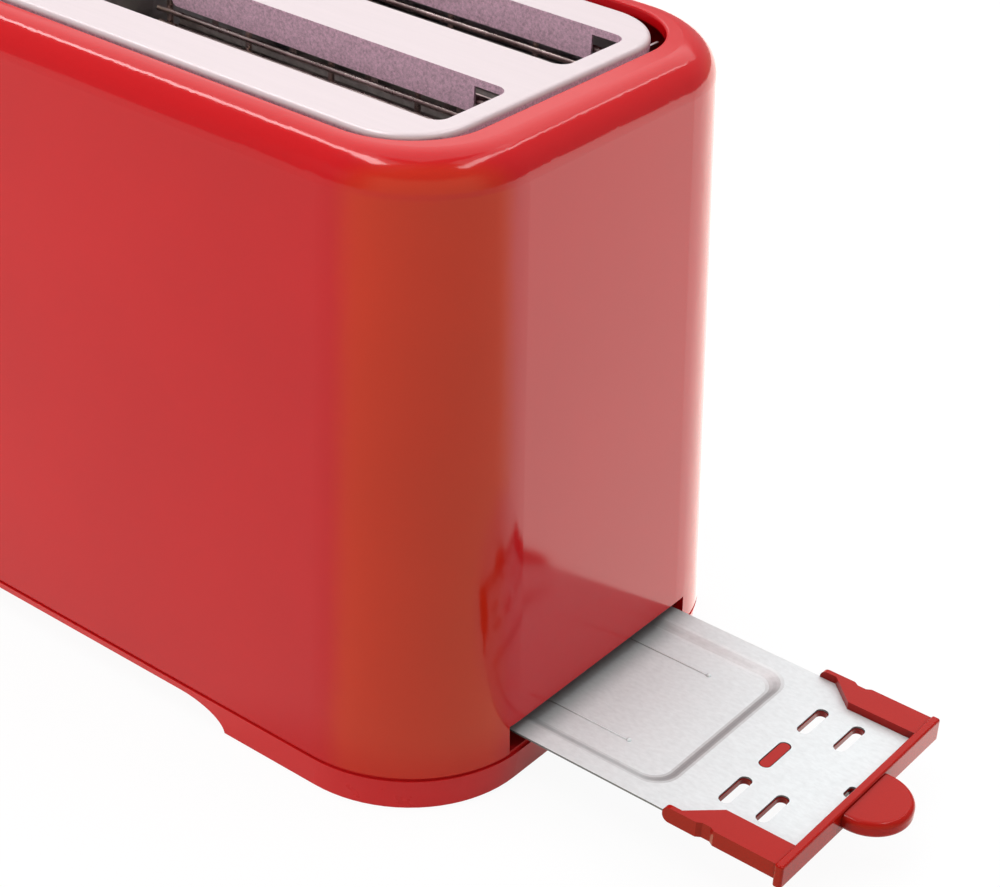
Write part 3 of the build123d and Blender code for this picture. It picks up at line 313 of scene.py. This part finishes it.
def wound_wire(name, bright, dark, pitch, metallic=0.9):
    """Close turns round an upright coil, such as wound wire or a braided sleeve."""
    made, tree, shader = blank_material(name)
    turns = tree.nodes.new("ShaderNodeTexWave")
    turns.bands_direction = "Z"
    turns.inputs["Scale"].default_value = wave_length / pitch
    turns.inputs["Distortion"].default_value = 0.2
    tree.links.new(place_coordinates(tree), turns.inputs["Vector"])
    tinted = colour_ramp(tree, turns.outputs["Fac"], [(0.1, dark), (0.6, bright)])
    tree.links.new(tinted, shader.inputs["Base Color"])
    shader.inputs["Metallic"].default_value = metallic
    shader.inputs["Roughness"].default_value = 0.35
    bump(tree, shader, turns.outputs["Fac"], strength=0.6, distance=0.0001)
    return made


def rubber_skin(name, colour):
    """Matt rubber or paint with a fine tooth."""
    made, tree, shader = blank_material(name)
    tooth = noise(tree, place_coordinates(tree), scale=1800.0, detail=3.0)
    tree.links.new(tones(tree, tooth, colour, dark=0.7, light=1.4), shader.inputs["Base Color"])
    tree.links.new(noise_span(tree, tooth, 0.7, 0.9), shader.inputs["Roughness"])
    bump(tree, shader, tooth, strength=0.4, distance=0.0001)
    return made


body_red = (0.508, 0.003, 0.006)
# Colour of the painted reflection on the housing's corners at the tray's end
corner_reflection_red = (0.545, 0.018, 0.004)
base_red = (0.6, 0.013, 0.014)
handle_red = (0.385, 0.006, 0.002)
black = (0.02, 0.02, 0.021)
dark_grey = (0.08, 0.08, 0.082)
board_green = (0.02, 0.14, 0.05)
plate_face = (0.625, 0.54, 0.556)
# Tone of the painted reflection on the plate's upright folds
plate_fold_reflection = (0.69, 0.455, 0.555)
tray_grey = (0.675, 0.72, 0.73)
plastic_looks = {
    "red_housing": dict(colour=body_red, gloss=0.11, grain=0.12, peel=0.06, shine=0.35, bend=corner_reflection_red),
    "red_base": dict(colour=base_red, gloss=0.3, grain=0.2, peel=0.15, shine=0.28),
    # The handle gets painted shade in its creases
    "red_handle": dict(colour=handle_red, gloss=0.16, grain=0.3, peel=0.35, shine=0.18, crease=0.005),
    "black_plastic": dict(colour=black, gloss=0.38, grain=0.3, peel=0.5),
    "dark_moulding": dict(colour=dark_grey, gloss=0.45, grain=0.3, peel=0.4),
    "board_green": dict(colour=board_green, gloss=0.35, grain=0.4, peel=0.3),
}
wire_looks = {
    "guard_steel": dict(bright=(0.66, 0.53, 0.51), dark=(0.32, 0.24, 0.23), rough=0.3),
    "bright_steel": dict(bright=(0.7, 0.7, 0.72), dark=(0.55, 0.55, 0.56), rough=0.25),
    "heater_alloy": dict(bright=(0.42, 0.39, 0.37), dark=(0.2, 0.18, 0.17), rough=0.45),
    "soft_iron": dict(bright=(0.48, 0.48, 0.5), dark=(0.38, 0.38, 0.39), rough=0.4),
    "capacitor_can": dict(bright=(0.75, 0.75, 0.78), dark=(0.6, 0.6, 0.63), rough=0.3),
    "contact_brass": dict(bright=(0.75, 0.55, 0.25), dark=(0.6, 0.42, 0.18), rough=0.3),
}
coil_looks = {
    "copper_wire": dict(bright=(0.75, 0.32, 0.14), dark=(0.3, 0.1, 0.04), pitch=0.0005),
    "lead_sleeve": dict(
        bright=(0.8, 0.79, 0.72), dark=(0.55, 0.54, 0.48), pitch=0.0012, metallic=0.0
    ),
}
materials = {
    "plate_steel": folded_sheet("plate_steel", plate_face, plate_fold_reflection, rough=0.35),
    "tray_steel": pressed_sheet("tray_steel", tray_grey, rough=0.6, grain=0.06, mouth=shell_high.x),
    "chassis_steel": spangled_sheet("chassis_steel", (0.55, 0.55, 0.57)),
    "mica_board": mica_sheet("mica_board", (0.42, 0.38, 0.36), (0.7, 0.65, 0.62)),
    "foot_rubber": rubber_skin("foot_rubber", (0.03, 0.03, 0.031)),
}
for maker, looks in (
    (moulded_plastic, plastic_looks),
    (drawn_wire, wire_looks),
    (wound_wire, coil_looks),
):
    for slot_name, look in looks.items():
        materials[slot_name] = maker(slot_name, **look)

for part in frame["record"]["subparts"]:
    piece = nodes[part["node"]]
    piece.data.materials.clear()
    piece.data.materials.append(materials[part["material_slot"]])

# Marks printed on the lever end: numerals round the dial and a sign on each button
draft = math.radians(3.6)
dial_height = 0.042
button_rise = 0.0255
button_pitch = 0.022
button_stand = 0.0026
print_depth = 0.00008
face_out = Vector((-math.cos(draft), 0.0, math.sin(draft)))
face_right = Vector((0.0, -1.0, 0.0))
face_up = face_out.cross(face_right)
face_turn = Matrix((face_right, face_up, face_out)).transposed().to_4x4()
dial_middle = Vector((shell_low.x + (dial_height - shell_low.z) * math.tan(draft), 0.0, dial_height))
print_white = rubber_skin("print_white", (0.62, 0.61, 0.58))


def printed(name, body, across, up, lift, data):
    """A mark on the lever end, placed across and up from the dial's middle."""
    data.materials.append(print_white)
    mark = bpy.data.objects.new(name, data)
    bpy.context.scene.collection.objects.link(mark)
    place = dial_middle + across * face_right + up * face_up + lift * face_out
    mark.matrix_world = Matrix.Translation(place) @ face_turn
    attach(mark, body)


def numeral(text, size):
    """Raised figure centred on its own middle."""
    data = bpy.data.curves.new("numeral_" + text, "FONT")
    data.body = text
    data.size = size
    data.align_x = "CENTER"
    data.align_y = "CENTER"
    data.extrude = print_depth
    return data


def sign(name, strokes, width):
    """Raised line drawing made of strokes, each a list of points in metres."""
    data = bpy.data.curves.new(name, "CURVE")
    data.dimensions = "3D"
    data.bevel_depth = width / 2
    data.bevel_resolution = 1
    for points in strokes:
        line = data.splines.new("POLY")
        line.points.add(len(points) - 1)
        for point, (x, y) in zip(line.points, points):
            point.co = (x, y, 0.0, 1.0)
    return data


def arc(radius, start, stop, count=16):
    """Points along part of a circle, in degrees anticlockwise from the right."""
    turns = [math.radians(start + (stop - start) * step / count) for step in range(count + 1)]
    return [(radius * math.cos(turn), radius * math.sin(turn)) for turn in turns]


numeral_ring = 0.0194
numeral_size = 0.0042
numeral_count = 6
first_turn = 125.0
turn_step = 50.0
for step in range(numeral_count):
    turn = math.radians(first_turn - turn_step * step)
    printed(
        f"dial_numeral_{step + 1}",
        "housing",
        -numeral_ring * math.sin(turn),
        numeral_ring * math.cos(turn),
        print_depth,
        numeral(str(step + 1), numeral_size),
    )

sign_line = 0.0005
sign_lift = button_stand + sign_line * 0.2
spoke = 0.0025
spoke_turns = range(30, 390, 60)
frost_arms = [
    [(0.0, 0.0), (spoke * math.cos(math.radians(turn)), spoke * math.sin(math.radians(turn)))]
    for turn in spoke_turns
]
bar = 0.0019
cancel_bars = [[(-bar, -bar), (bar, bar)], [(-bar, bar), (bar, -bar)]]
loop = 0.0022
barb = 0.0008
reheat_turn = [
    arc(loop, start=60.0, stop=360.0),
    [(loop - barb, barb), (loop, 0.0), (loop + barb, barb)],
]
for name, body, across, strokes in (
    ("defrost_sign", "defrost_key", -button_pitch, frost_arms),
    ("cancel_sign", "cancel_key", 0.0, cancel_bars),
    ("reheat_sign", "reheat_key", button_pitch, reheat_turn),
):
    printed(name, body, across, button_rise, sign_lift, sign(name, strokes, sign_line))

# Camera at the photograph's viewing angle, worked out from the plate's tray end
lens_share = 2.330839
camera_place = Vector((plate_high.x + 0.317923, -0.449438, 0.408522))
azimuth = 0.631416
elevation = 0.539562
roll = 0.061412
back = Vector(
    (
        math.sin(azimuth) * math.cos(elevation),
        -math.cos(azimuth) * math.cos(elevation),
        math.sin(elevation),
    )
)
level = Vector((math.cos(azimuth), math.sin(azimuth), 0.0))
upward = back.cross(level)
right = math.cos(roll) * level + math.sin(roll) * upward
above = -math.sin(roll) * level + math.cos(roll) * upward

camera_data = bpy.data.cameras.new("camera")
camera_data.sensor_fit = "HORIZONTAL"
camera_data.sensor_width = 36.0
camera_data.lens = lens_share * camera_data.sensor_width
camera_data.clip_start = 0.01
camera_data.clip_end = 50.0
camera = bpy.data.objects.new("camera", camera_data)
bpy.context.scene.collection.objects.link(camera)
camera_turn = Matrix((right, above, back)).transposed().to_4x4()
camera.matrix_world = Matrix.Translation(camera_place) @ camera_turn
bpy.context.scene.camera = camera

# Pale floor
white = (1.0, 1.0, 1.0, 1.0)
floor_reach = 6.0
floor_mesh = bpy.data.meshes.new("floor")
floor_mesh.from_pydata(
    [(x * floor_reach, y * floor_reach, 0.0) for x, y in ((-1, -1), (1, -1), (1, 1), (-1, 1))],
    [],
    [(0, 1, 2, 3)],
)
floor = bpy.data.objects.new("floor", floor_mesh)
bpy.context.scene.collection.objects.link(floor)
floor_material, floor_tree, floor_shader = blank_material("floor")
floor_shade = noise(floor_tree, place_coordinates(floor_tree), scale=3.0)
floor_dull, floor_clean = (0.93, 0.93, 0.93), (0.95, 0.95, 0.95)
floor_pale = colour_ramp(floor_tree, floor_shade, [(0.3, floor_dull), (0.7, floor_clean)])
floor_shader.inputs["Roughness"].default_value = 0.9
floor_shader.inputs["Specular IOR Level"].default_value = 0.1
floor_mesh.materials.append(floor_material)

# The floor glows like a light table. What it throws into the glossy housing depends on the bearing
# from the housing's near corner: bright to the right, warm straight ahead and dimmer to the left.
corner_radius = 0.0385
near_corner = Vector((shell_high.x - corner_radius, shell_low.y + corner_radius, 0.0))
floor_place = floor_tree.nodes.new("ShaderNodeNewGeometry").outputs["Position"]
from_corner = vectors(floor_tree, "SUBTRACT", floor_place, near_corner)
handle_place = Vector((handle_high.x, 0.02, 0.0))
from_tray = vectors(floor_tree, "SUBTRACT", floor_place, handle_place)
corner_span = vectors(floor_tree, "LENGTH", from_corner)
tray_span = vectors(floor_tree, "LENGTH", from_tray)
bearing = vectors(floor_tree, "NORMALIZE", from_corner)


def floor_sector(degrees, low_at, high_at, low, high):
    """Value that changes with the bearing's nearness to a direction."""
    near = vectors(floor_tree, "DOT_PRODUCT", bearing, heading(degrees))
    return span(floor_tree, near, low_at, high_at, low, high, smooth=True)


def glow(colour, strength):
    """Light given off by the floor."""
    made = floor_tree.nodes.new("ShaderNodeEmission")
    feed(floor_tree, colour, made.inputs["Color"])
    feed(floor_tree, strength, made.inputs["Strength"])
    return made.outputs["Emission"]


def floor_mix(factor, first, second):
    """Shader mixed from the first to the second."""
    made = floor_tree.nodes.new("ShaderNodeMixShader")
    feed(floor_tree, factor, made.inputs["Fac"])
    floor_tree.links.new(first, made.inputs[1])
    floor_tree.links.new(second, made.inputs[2])
    return made.outputs["Shader"]


plain_light = (1.0, 0.95, 0.9, 1.0)
warm_light = (1.35, 1.25, 0.85, 1.0)
warm_card = (0.42, 0.34, 0.24, 1.0)
past_tray = span(floor_tree, tray_span, start=0.05, stop=0.08, smooth=True)
past_corner = span(
    floor_tree, corner_span, start=corner_radius + 0.005, stop=corner_radius + 0.04, smooth=True
)
card_end = span(floor_tree, corner_span, start=0.75, stop=0.6, smooth=True)
warmth = floor_sector(-36.0, low_at=0.28, high_at=0.62, low=0.0, high=1.0)
for limit in (past_tray, past_corner, card_end):
    warmth = arithmetic(floor_tree, "MULTIPLY", warmth, limit)
floor_tree.links.new(blend(floor_tree, warmth, floor_pale, warm_card), floor_shader.inputs["Base Color"])
# Painted contact shadow: the glow dims close to the housing's near corner
contact_shadow = span(floor_tree, past_corner, low=0.55)
bright_side = floor_sector(80.0, low_at=0.42, high_at=0.77, low=1.03, high=2.2)
glow_strength = arithmetic(floor_tree, "MULTIPLY", bright_side, contact_shadow)
floor_glow = glow(blend(floor_tree, warmth, plain_light, warm_light), glow_strength)
floor_plain = floor_tree.nodes.new("ShaderNodeBsdfDiffuse")
floor_tree.links.new(floor_pale, floor_plain.inputs["Color"])
glow_share = 0.94
floor_direct = floor_mix(glow_share, floor_plain.outputs["BSDF"], glow(white, strength=1.0))
floor_ray = floor_tree.nodes.new("ShaderNodeLightPath").outputs
floor_mirrored = floor_mix(floor_ray["Is Glossy Ray"], floor_shader.outputs["BSDF"], floor_glow)
floor_surface = floor_mix(floor_ray["Is Camera Ray"], floor_mirrored, floor_direct)
floor_tree.links.new(floor_surface, floor_tree.nodes["Material Output"].inputs["Surface"])


# Soft studio light
def rectangle_light(name, place, turn, size, power):
    """Rectangular light of a power in watts, at a place and turned by Euler angles."""
    data = bpy.data.lights.new(name, "AREA")
    data.shape = "RECTANGLE"
    data.size, data.size_y = size
    data.energy = power
    lamp = bpy.data.objects.new(name, data)
    bpy.context.scene.collection.objects.link(lamp)
    lamp.location = place
    lamp.rotation_euler = turn
    return lamp


def area_light(name, place, target, size, power, mirrored=True):
    """Soft light at a place, facing a target, seen in glossy surfaces or not."""
    turn = (Vector(target) - Vector(place)).to_track_quat("-Z", "Y").to_euler()
    rectangle_light(name, place, turn, size, power).visible_glossy = mirrored


def ceiling_strip(name, start, stop, width, radiance):
    """Light seen only in gloss, from one point of the ceiling to another, with its brightness."""
    start, stop = Vector((*start, strip_z)), Vector((*stop, strip_z))
    along = stop - start
    turn = (0.0, 0.0, math.atan2(along.y, along.x))
    power = radiance * math.pi * along.length * width
    lamp = rectangle_light(name, (start + stop) / 2, turn, (along.length, width), power)
    lamp.visible_diffuse = False


# Fill lights, then the overhead panel that the rim mirrors and the bright tubes along its two edges
area_light("back_fill", (0.9, 1.1, 1.3), (0.15, 0.05, 0.0), (1.6, 1.2), power=5.0, mirrored=False)
area_light("front_fill", (-0.65, -1.5, 0.75), (-0.05, 0.0, 0.1), (0.9, 0.6), power=9.2, mirrored=False)
area_light("top_fill", (-0.15, -0.45, 1.5), (0.0, 0.0, 0.1), (1.0, 0.8), power=8.0, mirrored=False)
panel_z = 1.1
panel_x = (-1.85, 0.09)
panel_y = (0.0, 2.0)
panel_middle = (sum(panel_x) / 2, sum(panel_y) / 2)
panel_size = (panel_x[1] - panel_x[0], panel_y[1] - panel_y[0])
area_light("panel", (*panel_middle, panel_z), (*panel_middle, 0.0), panel_size, power=12.0)
strip_gap = 0.02
strip_z = panel_z - strip_gap
ceiling_strip("front_tube", (-1.04, -0.01), (-0.6, -0.03), width=0.12, radiance=10.0)
ceiling_strip("front_tube_bend", (-0.6, -0.04), (-0.33, -0.165), width=0.11, radiance=10.5)
ceiling_strip("front_tube_hook", (-0.33, -0.165), (-0.03, -0.4), width=0.16, radiance=11.0)
ceiling_strip("front_lobe", (-0.38, -0.03), (0.06, -0.3), width=0.17, radiance=1.0)
ceiling_strip("end_tube", (0.12, 1.4), (0.17, 0.98), width=0.08, radiance=4.4)
ceiling_strip("end_tube_bend", (0.19, 0.98), (0.34, 0.48), width=0.09, radiance=5.6)
ceiling_strip("end_tube_hook", (0.34, 0.48), (0.6, 0.05), width=0.13, radiance=7.5)
ceiling_strip("end_lobe", (0.11, 0.88), (0.4, 0.12), width=0.24, radiance=1.0)

# Sky: soft and brighter at the back for matt surfaces, grey with a warm part ahead in gloss, and
# plain white to the camera
mirrored_sky = (0.42, 0.42, 0.42, 1.0)
mirrored_warm = (1.3, 1.2, 0.8, 1.0)
warm_bearing = -40.0
world = bpy.data.worlds.new("studio")
bpy.context.scene.world = world
world.use_nodes = True
sky_tree = world.node_tree
sky = sky_tree.nodes["Background"]
sky_place = sky_tree.nodes.new("ShaderNodeTexCoord").outputs["Generated"]
sky_ray = sky_tree.nodes.new("ShaderNodeLightPath").outputs
brightest = Vector((-0.35, 0.85, 0.4)).normalized()
toward_back = vectors(sky_tree, "DOT_PRODUCT", sky_place, brightest)
sky_soft = span(sky_tree, toward_back, start=-0.2, stop=0.8, low=0.35, high=1.3)
sky_level = vectors(sky_tree, "MULTIPLY", sky_place, (1.0, 1.0, 0.0))
sky_bearing = vectors(sky_tree, "NORMALIZE", sky_level)
sky_ahead = vectors(sky_tree, "DOT_PRODUCT", sky_bearing, heading(warm_bearing))
warm_ahead = span(sky_tree, sky_ahead, start=0.55, stop=0.85, smooth=True)
warm_below = span(sky_tree, split(sky_tree, sky_place)["Z"], start=0.68, stop=0.5, smooth=True)
sky_warmth = arithmetic(sky_tree, "MULTIPLY", warm_ahead, warm_below)
sky_mirrored = blend(sky_tree, sky_warmth, mirrored_sky, mirrored_warm)
sky_colour = blend(sky_tree, sky_ray["Is Glossy Ray"], white, sky_mirrored)
sky_tree.links.new(sky_colour, sky.inputs["Color"])
seen_plain = arithmetic(sky_tree, "MAXIMUM", sky_ray["Is Glossy Ray"], sky_ray["Is Camera Ray"])
sky_strength = sky_tree.nodes.new("ShaderNodeMix")
feed(sky_tree, seen_plain, sky_strength.inputs["Factor"])
feed(sky_tree, sky_soft, sky_strength.inputs["A"])
feed(sky_tree, 1.0, sky_strength.inputs["B"])
sky_tree.links.new(sky_strength.outputs["Result"], sky.inputs["Strength"])
bpy.context.scene.view_settings.view_transform = "Standard"
